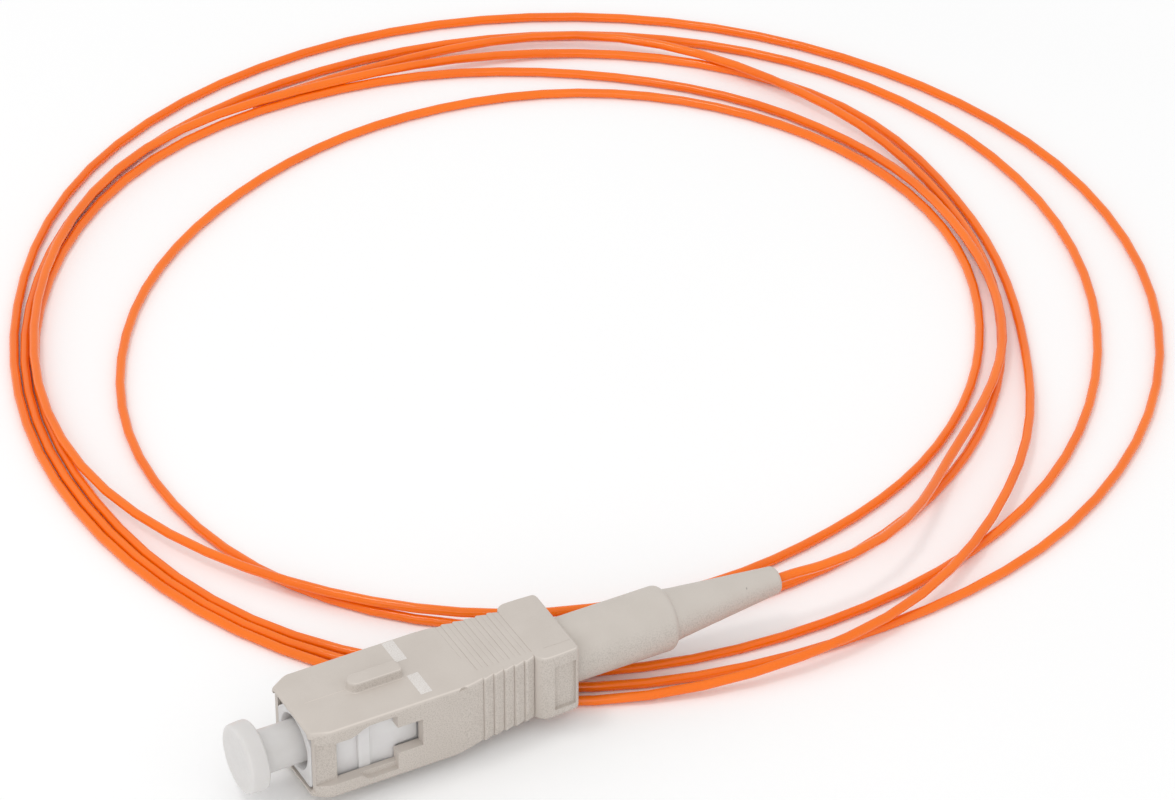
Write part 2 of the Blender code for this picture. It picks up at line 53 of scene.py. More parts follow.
# Fibre, on the route that its solid follows
FIBRE_DIAMETER = 0.9
LAYER_RISE = 0.95
LOOP_CENTRE = (53.5, 46.5)
LOOP_STATIONS = 12
LOOP_FIRST_BEARING = 270.0
LOOP_SAMPLES = 72
BOOT_TIP_X = 48.2
FIBRE_START_DEPTH = 1.4
FIBRE_END_BEARING = 103.0
LOOP_RADII = (
    (46.5, 40.0, 39.85, 39.95, 42.1, 44.2, 48.2, 52.1, 52.45, 52.1, 52.9, 51.3),
    (49.1, 48.85, 48.95, 49.95, 51.15, 51.75, 52.4, 53.8, 53.45, 53.15, 53.9, 53.3),
    (52.1, 53.65, 54.85, 54.9, 54.4, 55.2, 56.3, 56.5, 54.6, 54.15, 54.9, 55.2),
    (52.9, 46.4, 41.85, 42.5, 46.7, 48.3, 48.6, 52.9, 52.6, 51.4, 47.4, 43.8),
    (38.95, 37.55, 37.7, 39.2, 40.3, 41.05, 40.9, 41.35, 43.55, 45.95, 46.9, 44.9),
    (42.6, 40.6, 39.8, 41.2, 44.8, 50.1, 50.6, 51.8),
)
LOOP_LAYERS = (
    (4.5, 1.4, 1, 1, 0, 0, 0, 0, 0, 0, 0, 0),
    (0, 0, 0, 0, 0, 0, 0, 0, 0, 0, 0, 0),
    (0, 0, 0, 0, 0, 0, 0, 0, 0, 0, 0, 0),
    (1.3, 1, 0, 0, 0, 0, 0.9, 1.1, 1, 1, 1, 1),
    (0, 0, 0, 0, 0, 0, 0, 0, 0, 0, 0, 0),
    (0, 0, 0, 0.3, 1, 1, 0, 0),
)


def add_camera():
    """The camera at the photograph's viewpoint."""
    data = bpy.data.cameras.new("camera")
    data.lens = CAMERA_LENS
    data.sensor_width = 36.0
    data.clip_start = 0.01
    data.clip_end = 10.0
    camera = bpy.data.objects.new("camera", data)
    bpy.context.scene.collection.objects.link(camera)
    camera.location = CAMERA_PLACE
    sight = Vector(CAMERA_TARGET) - Vector(CAMERA_PLACE)
    camera.rotation_euler = sight.to_track_quat("-Z", "Y").to_euler()
    bpy.context.scene.camera = camera


# Materials


class Recipe:
    """A node tree round one Principled shader, with short helpers."""

    def __init__(self, name):
        self.made = bpy.data.materials.new(name)
        self.made.use_nodes = True
        self.tree = self.made.node_tree
        self.shader = self.tree.nodes["Principled BSDF"]
        coordinates = self.node("ShaderNodeTexCoord")
        self.place = coordinates.outputs["Object"]
        self.normal = coordinates.outputs["Normal"]

    def node(self, kind, **settings):
        made = self.tree.nodes.new(kind)
        for key, value in settings.items():
            setattr(made, key, value)
        return made

    def link(self, source, target):
        self.tree.links.new(source, target)

    def set(self, **values):
        """Set the shader's own sockets, with underscores for spaces."""
        for key, value in values.items():
            self.shader.inputs[key.replace("_", " ")].default_value = value

    def noise(self, scale, detail=2.0, roughness=0.5, stretch=None):
        """Noise with its scale given in features per mm."""
        made = self.node("ShaderNodeTexNoise")
        made.inputs["Scale"].default_value = scale / MM
        made.inputs["Detail"].default_value = detail
        made.inputs["Roughness"].default_value = roughness
        source = self.place
        if stretch:
            mapping = self.node("ShaderNodeMapping")
            mapping.inputs["Scale"].default_value = stretch
            self.link(self.place, mapping.inputs["Vector"])
            source = mapping.outputs["Vector"]
        self.link(source, made.inputs["Vector"])
        return made.outputs["Fac"]

    def ramp(self, source, low, high, out_low=0.0, out_high=1.0):
        """Map a value's range smoothly to another."""
        made = self.node("ShaderNodeMapRange", interpolation_type="SMOOTHSTEP")
        made.inputs["From Min"].default_value = low
        made.inputs["From Max"].default_value = high
        made.inputs["To Min"].default_value = out_low
        made.inputs["To Max"].default_value = out_high
        self.link(source, made.inputs["Value"])
        return made.outputs["Result"]

    def maths(self, operation, a, b):
        """One arithmetic step between sockets or numbers."""
        made = self.node("ShaderNodeMath", operation=operation)
        for socket, value in zip(made.inputs, (a, b)):
            if isinstance(value, (int, float)):
                socket.default_value = value
            else:
                self.link(value, socket)
        return made.outputs["Value"]

    def mix(self, factor, a, b):
        """Blend two colours, each a socket or three numbers."""
        made = self.node("ShaderNodeMix", data_type="RGBA")
        self.link(factor, made.inputs["Factor"])
        for socket, value in ((made.inputs[6], a), (made.inputs[7], b)):
            if isinstance(value, tuple):
                socket.default_value = (*value, 1.0)
            else:
                self.link(value, socket)
        return made.outputs[2]

    def axis(self, source, letter):
        """One component of a vector."""
        made = self.node("ShaderNodeSeparateXYZ")
        self.link(source, made.inputs["Vector"])
        return made.outputs[letter]

    def bump(self, layers):
        """Stack bump maps, each a (height socket, depth in mm) pair."""
        previous = None
        for height, depth in layers:
            made = self.node("ShaderNodeBump")
            made.inputs["Distance"].default_value = depth * MM
            self.link(height, made.inputs["Height"])
            if previous:
                self.link(previous, made.inputs["Normal"])
            previous = made.outputs["Normal"]
        self.link(previous, self.shader.inputs["Normal"])


def moulded_plastic(name, light, dark, speck, roughness, grain_depth, painted_highlight_strength):
    """Moulded plastic: plain on top, finely eroded on the sides, with a painted highlight along rounded top
    edges.
    """
    r = Recipe(name)
    upward = r.axis(r.normal, "Z")
    lengthwise = r.maths("ABSOLUTE", r.axis(r.normal, "X"), 0.0)
    sides = r.ramp(upward, 0.05, 0.7, 1.0, 0.06)
    eroded = r.maths("MULTIPLY", sides, r.ramp(lengthwise, 0.5, 0.9, 1.0, 0.15))
    cloud = r.noise(0.35, 3.0)
    tone = r.mix(r.ramp(cloud, 0.3, 0.7), light, dark)
    grain = r.noise(8.0, 3.0, 0.65)
    pitted = r.maths("MULTIPLY", r.ramp(grain, 0.42, 0.66), eroded)
    tone = r.mix(r.maths("MULTIPLY", pitted, 0.7), tone, speck)
    # Painted highlight: the base colour is made paler on upward-sloping rounded edges, standing in for the
    # light line that lighting draws along the top edges
    painted_highlight = r.maths("MULTIPLY", r.ramp(upward, 0.6, 0.78), r.ramp(upward, 0.86, 0.96, 1.0, 0.0))
    painted_highlight = r.maths("MULTIPLY", painted_highlight, r.ramp(lengthwise, 0.2, 0.5, painted_highlight_strength, 0.0))
    tone = r.mix(painted_highlight, tone, tuple(1.2 * c for c in light))
    spots = r.ramp(r.noise(1.3, 2.0), 0.79, 0.84, 0.0, 0.55)
    tone = r.mix(spots, tone, tuple(0.35 * c for c in speck))
    r.link(tone, r.shader.inputs["Base Color"])
    r.link(r.ramp(grain, 0.3, 0.7, roughness - 0.06, roughness + 0.08), r.shader.inputs["Roughness"])
    height = r.maths("MULTIPLY", grain, eroded)
    r.bump([(height, grain_depth), (r.noise(0.9, 2.0), 0.012)])
    r.set(Specular_IOR_Level=0.35)
    return r.made


def soft_white(name, light, dark, roughness, depth):
    """Milky white plastic that lets a little light through."""
    r = Recipe(name)
    cloud = r.noise(0.5, 3.0)
    r.link(r.mix(r.ramp(cloud, 0.3, 0.7), light, dark), r.shader.inputs["Base Color"])
    fine = r.noise(4.0, 2.0)
    r.link(r.ramp(fine, 0.3, 0.7, roughness - 0.05, roughness + 0.07), r.shader.inputs["Roughness"])
    r.bump([(fine, 0.004), (r.noise(0.8, 2.0), 0.015)])
    r.set(Subsurface_Weight=0.35, Subsurface_Scale=depth * MM, Subsurface_Radius=(1.0, 0.95, 0.9))
    return r.made


def chalk(name):
    """Rubbed white ink, thin enough for the plastic to show through in specks."""
    r = Recipe(name)
    cover = r.ramp(r.noise(11.0, 3.0, 0.7), 0.34, 0.62)
    r.link(r.mix(cover, (0.64, 0.59, 0.55), (0.78, 0.75, 0.72)), r.shader.inputs["Base Color"])
    r.link(r.ramp(cover, 0.0, 1.0, 0.6, 0.85), r.shader.inputs["Roughness"])
    r.bump([(cover, 0.006)])
    return r.made


def buffer_orange(name):
    """Extruded orange buffer, smooth with faint lengthwise variation."""
    r = Recipe(name)
    cloud = r.noise(0.12, 3.0)
    tone = r.mix(r.ramp(cloud, 0.35, 0.65), (0.97, 0.185, 0.002), (0.93, 0.165, 0.001))
    fine = r.noise(5.0, 2.0)
    tone = r.mix(r.ramp(fine, 0.35, 0.75, 0.0, 0.25), tone, (0.98, 0.215, 0.006))
    r.link(tone, r.shader.inputs["Base Color"])
    r.link(r.ramp(fine, 0.3, 0.7, 0.32, 0.44), r.shader.inputs["Roughness"])
    r.bump([(fine, 0.003), (r.noise(0.6, 2.0), 0.01)])
    r.set(Specular_IOR_Level=0.1, Coat_Weight=0.7, Coat_Roughness=0.06)
    return r.made


def ceramic(name):
    """Polished zirconia."""
    r = Recipe(name)
    cloud = r.noise(0.8, 2.0)
    tone = r.mix(r.ramp(cloud, 0.3, 0.7), (0.87, 0.86, 0.83), (0.83, 0.82, 0.78))
    r.link(tone, r.shader.inputs["Base Color"])
    fine = r.noise(12.0, 2.0)
    r.link(r.ramp(fine, 0.3, 0.7, 0.1, 0.2), r.shader.inputs["Roughness"])
    r.bump([(fine, 0.0006)])
    r.set(Coat_Weight=0.5)
    return r.made


def nickel(name, tint):
    """Turned and plated metal, with faint rings left by the lathe."""
    r = Recipe(name)
    rings = r.noise(9.0, 2.0, 0.5, stretch=(1.0, 0.02, 0.02))
    tone = r.mix(r.ramp(rings, 0.3, 0.7), tint, tuple(0.85 * c for c in tint))
    r.link(tone, r.shader.inputs["Base Color"])
    r.link(r.ramp(rings, 0.3, 0.7, 0.22, 0.38), r.shader.inputs["Roughness"])
    r.bump([(rings, 0.003)])
    r.set(Metallic=1.0)
    return r.made


def pale_floor(name):
    """Plain pale floor."""
    r = Recipe(name)
    cloud = r.noise(0.01, 2.0)
    tone = r.mix(r.ramp(cloud, 0.3, 0.7), (1.0, 1.0, 1.0), (0.985, 0.985, 0.985))
    r.link(tone, r.shader.inputs["Base Color"])
    r.set(Roughness=0.9, Specular_IOR_Level=0.1)
    return r.made


# Mesh helpers, in mm until the mesh is made

CORNER_STEPS = 5
TURNED_SIDES = 72
BEVEL_STEPS = 2
SHARP_ANGLE = 40


def add_mesh(name, verts, faces):
    """A mesh object from points in mm, with its faces pointing out."""
    mesh = bpy.data.meshes.new(name)
    mesh.from_pydata([tuple(c * MM for c in v) for v in verts], [], faces)
    work = bmesh.new()
    work.from_mesh(mesh)
    bmesh.ops.remove_doubles(work, verts=work.verts, dist=2e-7)
    bmesh.ops.recalc_face_normals(work, faces=work.faces)
    work.to_mesh(mesh)
    work.free()
    made = bpy.data.objects.new(name, mesh)
    bpy.context.scene.collection.objects.link(made)
    return made


def section(half_width, low, high, edge, low_edge, straight):
    """Points of a (y, z) rectangle whose corners are rounded, or cut straight across."""
    points = []
    top = (high - edge, edge)
    bottom = (low + low_edge, low_edge)
    corners = ((1, *top), (-1, *top), (-1, *bottom), (1, *bottom))
    for turn, (side, middle, size) in enumerate(corners):
        first, last = pi / 2 * turn, pi / 2 * (turn + 1)
        for t in (k / CORNER_STEPS for k in range(CORNER_STEPS + 1)):
            if straight:
                along = (1 - t) * cos(first) + t * cos(last)
                up = (1 - t) * sin(first) + t * sin(last)
            else:
                along = cos(first + (last - first) * t)
                up = sin(first + (last - first) * t)
            points.append((side * (half_width - size) + size * along, middle + size * up))
    return points


def skin(name, rings):
    """A closed solid through rings of 3-D points that have as many points each."""
    count = len(rings[0])
    verts = [point for ring in rings for point in ring]
    faces = []
    for row in range(len(rings) - 1):
        for k in range(count):
            a = row * count + k
            b = row * count + (k + 1) % count
            faces.append((a, b, b + count, a + count))
    faces.append(tuple(range(count)))
    last = (len(rings) - 1) * count
    faces.append(tuple(range(last, last + count)))
    return add_mesh(name, verts, faces)


def loft(name, stations, straight=False):
    """A solid along X through (x, half width, low, high, top corner, low corner) stations."""
    return skin(name, [[(x, y, z) for y, z in section(*row, straight)] for x, *row in stations])


def even(x, half_width, half_height, edge):
    """A station that is the same above and below the axis."""
    return (x, half_width, -half_height, half_height, edge, edge)


def side_prism(outline, y_low, y_high):
    """A cutter with an (x, z) outline, extruded across."""
    return skin("cutter", [[(x, y, z) for x, z in outline] for y in (y_low, y_high)])


def block(low, high):
    """A plain cutter between two corners."""
    outline = [(low[0], low[2]), (high[0], low[2]), (high[0], high[2]), (low[0], high[2])]
    return side_prism(outline, low[1], high[1])


def turned(name, profile):
    """A solid turned about the X axis from a closed (x, radius) profile."""
    count = len(profile)
    turns = [2 * pi * k / TURNED_SIDES for k in range(TURNED_SIDES)]
    verts = [(x, radius * cos(turn), radius * sin(turn)) for turn in turns for x, radius in profile]
    faces = []
    for k in range(TURNED_SIDES):
        for i in range(count):
            j = (i + 1) % count
            if profile[i][1] < 1e-6 and profile[j][1] < 1e-6:
                continue
            here, beyond = k * count, (k + 1) % TURNED_SIDES * count
            face = [here + i, here + j, beyond + j, beyond + i]
            if profile[j][1] < 1e-6:
                face.pop(2)
            elif profile[i][1] < 1e-6:
                face.pop(3)
            faces.append(tuple(face))
    return add_mesh(name, verts, faces)


def arc(x, radius, size, start, end, steps=4):
    """Profile points of a round corner about (x, radius), from one angle to another."""
    angles = (radians(start + (end - start) * k / steps) for k in range(steps + 1))
    return [(x + size * cos(a), radius + size * sin(a)) for a in angles]


def combine(target, tool, operation):
    """Apply one boolean step and drop the tool."""
    step = target.modifiers.new("step", "BOOLEAN")
    step.operation = operation
    step.object = tool
    step.solver = "EXACT"
    graph = bpy.context.evaluated_depsgraph_get()
    mesh = bpy.data.meshes.new_from_object(target.evaluated_get(graph))
    target.modifiers.clear()
    target.data = mesh
    bpy.data.objects.remove(tool)


def soften(target, width, wanted):
    """Round the sharp edges whose middle, in mm, is wanted."""
    work = bmesh.new()
    work.from_mesh(target.data)
    bmesh.ops.dissolve_limit(work, angle_limit=radians(0.5), verts=work.verts, edges=work.edges)
    bmesh.ops.remove_doubles(work, verts=work.verts, dist=1e-6)
    edges = []
    for edge in work.edges:
        if len(edge.link_faces) != 2 or edge.calc_face_angle(0) < radians(SHARP_ANGLE):
            continue
        middle = (edge.verts[0].co + edge.verts[1].co) / 2 / MM
        if wanted(middle):
            edges.append(edge)
    bmesh.ops.bevel(work, geom=edges, offset=width * MM, offset_type="OFFSET", segments=BEVEL_STEPS,
                    profile=0.5, affect="EDGES", clamp_overlap=True)
    work.to_mesh(target.data)
    work.free()


def finish_mesh(target, finish, body, nodes=(), angle=30):
    """Shade, paint, and hand the piece to its body."""
    target.data.materials.clear()
    target.data.materials.append(finish)
    target.data.shade_smooth()
    target.data.set_sharp_from_angle(angle=radians(angle))
    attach(target, body)
    if nodes:
        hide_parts(*nodes)


# Fibre


def spline_value(values, position):
    """A smooth value through evenly spaced values, flat at the start."""
    low = min(int(position), len(values) - 2)
    t = position - low
    before = values[low - 1] if low else values[1]
    a, b = values[low], values[low + 1]
    after = values[low + 2] if low + 2 < len(values) else b
    rise_a = (b - before) / 2
    rise_b = (after - a) / 2
    return ((2 * t**3 - 3 * t**2 + 1) * a + (t**3 - 2 * t**2 + t) * rise_a
            + (3 * t**2 - 2 * t**3) * b + (t**3 - t**2) * rise_b)


def eased_value(values, position):
    """A value that eases from each station to the next and never passes either."""
    low = min(int(position), len(values) - 2)
    t = position - low
    ease = t * t * (3 - 2 * t)
    return values[low] + (values[low + 1] - values[low]) * ease


def loop_point(bearing):
    """The fibre's centre, in mm, at a bearing that keeps counting through the loops."""
    radii = [r for turn in LOOP_RADII for r in turn]
    layers = [n for turn in LOOP_LAYERS for n in turn]
    position = (bearing - LOOP_FIRST_BEARING) * LOOP_STATIONS / 360
    radius = spline_value(radii, position)
    height = FLOOR_Z + FIBRE_DIAMETER / 2 + eased_value(layers, position) * LAYER_RISE
    return (LOOP_CENTRE[0] + radius * cos(radians(bearing)),
            LOOP_CENTRE[1] + radius * sin(radians(bearing)), height)


def fibre_route():
    """The route in mm: straight out of the boot, then round the loops."""
    start = Vector((BOOT_TIP_X + FIBRE_START_DEPTH, 0, 0))
    first = Vector(loop_point(LOOP_FIRST_BEARING))
    points = [(BOOT_TIP_X - FIBRE_START_DEPTH, 0, 0), tuple(start)]
    beyond = Vector(loop_point(LOOP_FIRST_BEARING + 3)) - first
    span = (first - start).length
    for k in range(1, 6):
        t = k / 6
        leave = start + Vector((span * t, 0, 0))
        arrive = first - beyond.normalized() * span * (1 - t)
        ease = t * t * (3 - 2 * t)
        points.append(tuple(leave.lerp(arrive, ease)))
    last = FIBRE_END_BEARING + 360 * len(LOOP_RADII)
    step = 360 / LOOP_SAMPLES
    count = int((last - LOOP_FIRST_BEARING) / step)
    points.extend(loop_point(last - step * k) for k in reversed(range(count + 1)))
    return [Vector(p) * MM for p in points]


def add_fibre(finish):
    """The fibre as a round curve along its route."""
    points = fibre_route()
    data = bpy.data.curves.new("fibre_buffer", "CURVE")
    data.dimensions = "3D"
    data.bevel_depth = FIBRE_DIAMETER / 2 * MM
    data.bevel_resolution = 5
    data.use_fill_caps = True
    spline = data.splines.new("POLY")
    spline.points.add(len(points) - 1)
    spline.use_smooth = True
    for slot, point in zip(spline.points, points):
        slot.co = (*point, 1)
    data.materials.append(finish)
    fibre = bpy.data.objects.new("fibre_buffer", data)
    bpy.context.scene.collection.objects.link(fibre)
    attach(fibre, "core")
    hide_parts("fibre")


# Sleeve

BLOCK_HALF_WIDTH = 4.5
BLOCK_HALF_HEIGHT = 3.7
TOP_Z = 3.69
SLEEVE_REAR = 26.2
CAVITY_HALF_WIDTH = 3.5
CAVITY_FRONT_HALF_WIDTH = 3.32
CAVITY_HALF_HEIGHT = 3.25
RIB_FIRST = 16.9
RIB_PITCH = 1.05
RIB_VALLEYS = (4.14, 4.02, 3.91, 3.8, 3.69, 3.52)
RIB_SWELL = 0.15
KEY_FRONT = 5.9
KEY_REAR = 11.0
KEY_HALF_WIDTH = 0.78
KEY_CORNER = 0.42
WINDOW_LOW = -2.2
WINDOW_REAR = 8.5
SLOT_LOW = -1.05
SLOT_HIGH = 1.75
SLOT_REAR = 10.9
SHELF_DROP = 0.6
LINE_HALF_WIDTH = 0.045
LINE_FAR_END = 3.95
MARK_FRONT = 11.22
MARK_REAR = 12.32
MARK_SLANT = 0.03


def sleeve_stations():
    """The sleeve's outer form: rounded nose, block, saw-toothed waist and collar."""
    nose = ((0.5, 3.56, 3.3), (0.53, 3.66, 3.38), (0.6, 3.74, 3.45), (0.75, 3.83, 3.5),
            (1.2, 4.06, 3.57), (1.7, 4.31, 3.65), (1.95, 4.42, 3.68),
            (2.25, BLOCK_HALF_WIDTH, BLOCK_HALF_HEIGHT))
    rows = [even(x, w, h, 0.4) for x, w, h in nose]
    rows += [(14.0, BLOCK_HALF_WIDTH, -BLOCK_HALF_HEIGHT, BLOCK_HALF_HEIGHT, 0.38, 0.4)]
    rows += [(x, w, low, TOP_Z, 0.36, 0.45) for x, w, low in (
        (14.5, 4.49, -3.66), (15.0, 4.46, -3.59), (15.5, 4.42, -3.52), (15.9, 4.36, -3.46),
        (16.3, 4.28, -3.42), (16.6, 4.2, -3.4))]
    for k, valley in enumerate(RIB_VALLEYS):
        x = RIB_FIRST + k * RIB_PITCH
        last = k == len(RIB_VALLEYS) - 1
        deep = 0.1 if last else 0.055
        shape = [(-0.035, 0.0), (-0.025, -deep), (0.025, -deep), (0.035, 0.03)]
        if not last:
            drop = 0.13 + valley - RIB_VALLEYS[k + 1]
            shape += [(0.09, 0.1), (0.17, 0.145), (0.27, RIB_SWELL)]
            shape += [(t, RIB_SWELL - drop * ((t - 0.27) / 0.75) ** 0.85) for t in (0.42, 0.58, 0.74, 0.88)]
        rows += [(x + dx, valley + dy, -3.38 + 0.025 * k, TOP_Z, 0.3, 0.5) for dx, dy in shape]
    rows += [(x, w, low, TOP_Z, 0.3, 0.6) for x, w, low in (
        (22.21, 3.65, -3.26), (22.3, 3.82, -3.28), (22.42, 4.0, -3.3), (22.58, 4.15, -3.33),
        (22.78, 4.27, -3.35), (23.0, 4.34, -3.37), (23.3, 4.36, -3.38), (24.3, 4.35, -3.37),
        (25.7, 4.28, -3.34), (25.9, 4.25, -3.33))]
    rows += [(26.05, 4.17, -3.31, 3.66, 0.34, 0.6), (26.15, 4.06, -3.28, 3.6, 0.38, 0.6),
             (SLEEVE_REAR, 3.94, -3.24, 3.52, 0.4, 0.6)]
    return rows


def add_key(sleeve):
    """The key on the top, with a round sloping front and softened edges."""
    def outline(inset):
        half = KEY_HALF_WIDTH - inset
        front, rear = KEY_FRONT + 1.5 * inset, KEY_REAR - 1.3 * inset
        points = [(front + half - half * sin(a), half * cos(a)) for a in (k * pi / 12 for k in range(13))]
        for start, y in ((-90, -half + KEY_CORNER), (0, half - KEY_CORNER)):
            for angle in (radians(start + k * 22.5) for k in range(5)):
                points.append((rear - KEY_CORNER + KEY_CORNER * cos(angle), y + KEY_CORNER * sin(angle)))
        return points
    levels = ((3.5, -0.1), (3.69, -0.1), (3.72, -0.06), (3.78, -0.025), (3.88, 0.0), (4.4, 0.02),
              (4.5, 0.035), (4.58, 0.07), (4.62, 0.12), (4.64, 0.2))
    key = skin("key", [[(x, y, z) for x, y in outline(inset)] for z, inset in levels])
    combine(sleeve, key, "UNION")
    seam = skin("seam", [[(x, 0.04, 3.6), (x, 0.04, z), (x, 0.07, z + 0.025), (x, 0.1, z), (x, 0.1, 3.6)]
                         for x, z in ((1.9, 3.68), (2.2, 3.7), (5.9, 3.7))])
    combine(sleeve, seam, "UNION")


def add_top_lines(sleeve):
    """Fine grooves across the top of the grip, a deep and a shallow one at each rib."""
    for k in range(6):
        strong = RIB_FIRST - 0.05 + k * RIB_PITCH
        for x, depth, near in ((strong, 0.05, -2.85), (strong - 0.5, 0.034, -2.75 if k else -0.8)):
            rings = []
            for y in (LINE_FAR_END, near):
                middle = x - 0.1 * (y - LINE_FAR_END) / 6.8
                front, rear = middle - LINE_HALF_WIDTH, middle + LINE_HALF_WIDTH
                rings.append([(front, y, 3.8), (front, y, TOP_Z), (middle, y, TOP_Z - depth),
                              (rear, y, TOP_Z), (rear, y, 3.8)])
            combine(sleeve, skin("line", rings), "DIFFERENCE")


def window_outline():
    """The side window with its stepped rear slot."""
    slot = [(WINDOW_REAR, SLOT_LOW), (SLOT_REAR, SLOT_LOW), (SLOT_REAR, SLOT_HIGH), (WINDOW_REAR, SLOT_HIGH)]
    top = [(WINDOW_REAR, 3.0), (8.4, 3.05), (5.9, 3.05), (5.3, 2.85), (4.7, 2.52), (4.2, 2.32), (3.9, 2.3)]
    return [(3.0, WINDOW_LOW), (WINDOW_REAR, WINDOW_LOW)] + slot + top + [(3.0, 2.3)]


def shelf_outline():
    """The step in the outer half of the wall below the window."""
    slope = []
    for t in (k / 6 for k in range(7)):
        slope.append((4.9 + 0.9 * t, WINDOW_LOW - SHELF_DROP * t * t * (3 - 2 * t)))
    return [(4.7, -1.6), (4.7, WINDOW_LOW)] + slope + [(WINDOW_REAR, -2.8), (WINDOW_REAR, -1.6)]


def add_sleeve(finish):
    """The coupling sleeve, with its key, ribs, windows, channels and framed panels."""
    sleeve = loft("sleeve_moulding", sleeve_stations())
    add_key(sleeve)
    add_top_lines(sleeve)
    cavity = [even(x, w, CAVITY_HALF_HEIGHT, 0.15) for x, w in (
        (0.0, CAVITY_FRONT_HALF_WIDTH), (2.4, CAVITY_FRONT_HALF_WIDTH),
        (2.9, CAVITY_HALF_WIDTH), (14.0, CAVITY_HALF_WIDTH))]
    combine(sleeve, loft("cavity", cavity), "DIFFERENCE")
    combine(sleeve, block((-0.5, -5.0, -5.0), (0.66, 5.0, -2.9)), "DIFFERENCE")
    bore = [(13.5, 0), (26.5, 0), (26.5, 3.3), (26.2, 3.3), (26.0, 3.15), (13.5, 3.15)]
    combine(sleeve, turned("bore", bore), "DIFFERENCE")
    combine(sleeve, side_prism(window_outline(), -6, 6), "DIFFERENCE")
    open_side = [(-0.5, -2.95), (0.88, -2.95), (0.88, 2.95), (-0.5, 2.95)]
    channel = [(0.95, WINDOW_LOW), (4.0, WINDOW_LOW), (4.0, 2.3), (0.95, 2.3)]
    panel = [(23.75, -2.35), (25.75, -2.35), (25.8, -2.3), (25.8, 2.4), (25.75, 2.45), (23.75, 2.45),
             (23.7, 2.4), (23.7, -2.3)]
    nick = [(14.4, 4.7), (14.4, 4.46), (14.7, 4.3), (15.0, 4.27), (15.3, 4.4), (15.3, 4.7)]
    for side in (-1, 1):
        for outline, floor in ((open_side, 3.0), (channel, 3.8), (shelf_outline(), 4.0), (panel, 4.02)):
            low, high = sorted((side * floor, side * 6.0))
            combine(sleeve, side_prism(outline, low, high), "DIFFERENCE")
        rings = [[(x, side * y, z) for x, y in nick] for z in (3.42, 3.9)]
        combine(sleeve, skin("nick", rings), "DIFFERENCE")
    border_line = block((23.3, -2.93, TOP_Z - 0.015), (26.0, -2.88, 3.8))
    combine(sleeve, border_line, "DIFFERENCE")
    soften(sleeve, 0.06, lambda m: abs(m.y) > 3.7 and m.x < 11.2 and abs(m.z) < 3.3)
    finish_mesh(sleeve, finish, "sleeve", ["grip_sleeve"])


def add_marks(finish):
    """Two rubbed white bars across the top, one each side of the key's line."""
    for name, low, high in (("mark_far", 1.3, 4.2), ("mark_near", -3.56, -0.7)):
        rings = []
        for z, inset in ((3.65, 0.0), (3.712, 0.0), (3.718, 0.02)):
            front, rear = MARK_FRONT + inset, MARK_REAR - inset
            rings.append([(front, low + inset, z), (rear, low + inset + MARK_SLANT, z),
                          (rear, high - inset, z), (front, high - inset - MARK_SLANT, z)])
        mark = skin(name, rings)
        finish_mesh(mark, finish, "sleeve")


# Frame, boot and cap

FRAME_HALF_HEIGHT = 3.05
FRAME_HALF_WIDTH = 3.2
SHANK_RADIUS = 2.85
CHAMBER_RADIUS = 2.4
MOUTH_RADIUS = 2.2
CATCH_HALF_SPAN = 2.7
PAD_FACE = 3.42
BOOT_FRONT = 21.95
BOOT_RADIUS = 3.0
CAP_FRONT = -4.6
CAP_REAR = 5.0
CAP_BORE = 1.45


def add_frame(finish):
    """The white plug frame, with its cut corners, catches, mouth and shank."""
    stations = [(x, w, -h, h, r, 0.3) for x, w, h, r in (
        (0.8, 3.12, 2.98, 1.45), (0.87, 3.18, 3.04, 1.48), (2.4, 3.19, FRAME_HALF_HEIGHT, 1.45),
        (3.2, FRAME_HALF_WIDTH, FRAME_HALF_HEIGHT, 0.3), (13.6, FRAME_HALF_WIDTH, FRAME_HALF_HEIGHT, 0.3),
        (13.7, 3.12, 2.95, 0.3))]
    body = loft("frame_moulding", stations, straight=True)
    shank = [(9.0, 0), (20.0, 0), (20.0, 2.75), (19.9, SHANK_RADIUS), (9.0, SHANK_RADIUS)]
    combine(body, turned("shank", shank), "UNION")
    catch = [(5.2, 2.9), (5.2, 3.42), (5.26, 3.47), (6.25, 3.47), (6.3, 3.44), (6.36, 3.34), (6.55, 3.27),
             (7.0, 3.25), (7.6, 3.32), (8.2, PAD_FACE), (8.7, PAD_FACE), (8.7, 2.9)]
    pad = [(8.5, -0.93), (10.35, -0.9), (10.55, -0.86), (10.7, -0.75), (10.77, -0.55), (10.77, 1.3),
           (10.7, 1.6), (10.5, 2.4), (8.5, 2.4)]
    for side in (-1, 1):
        rings = [[(x, side * y, z) for x, y in catch] for z in (-CATCH_HALF_SPAN, CATCH_HALF_SPAN)]
        combine(body, skin("catch", rings), "UNION")
        low, high = sorted((side * 3.0, side * PAD_FACE))
        combine(body, side_prism(pad, low, high), "UNION")
    bore = [(0.0, 0), (21.0, 0), (21.0, CHAMBER_RADIUS), (9.4, CHAMBER_RADIUS), (9.4, 1.55), (8.2, 1.55),
            (8.2, MOUTH_RADIUS), (2.2, MOUTH_RADIUS), (1.3, 2.4), (0.95, 2.5), (0.8, 2.6), (0.0, 2.6)]
    combine(body, turned("bore", bore), "DIFFERENCE")
    soften(body, 0.05, lambda m: abs(m.y) > 3.25 and (4.5 < m.x < 6 or 9 < m.x < 11))
    finish_mesh(body, finish, "core", ["plug_frame"])


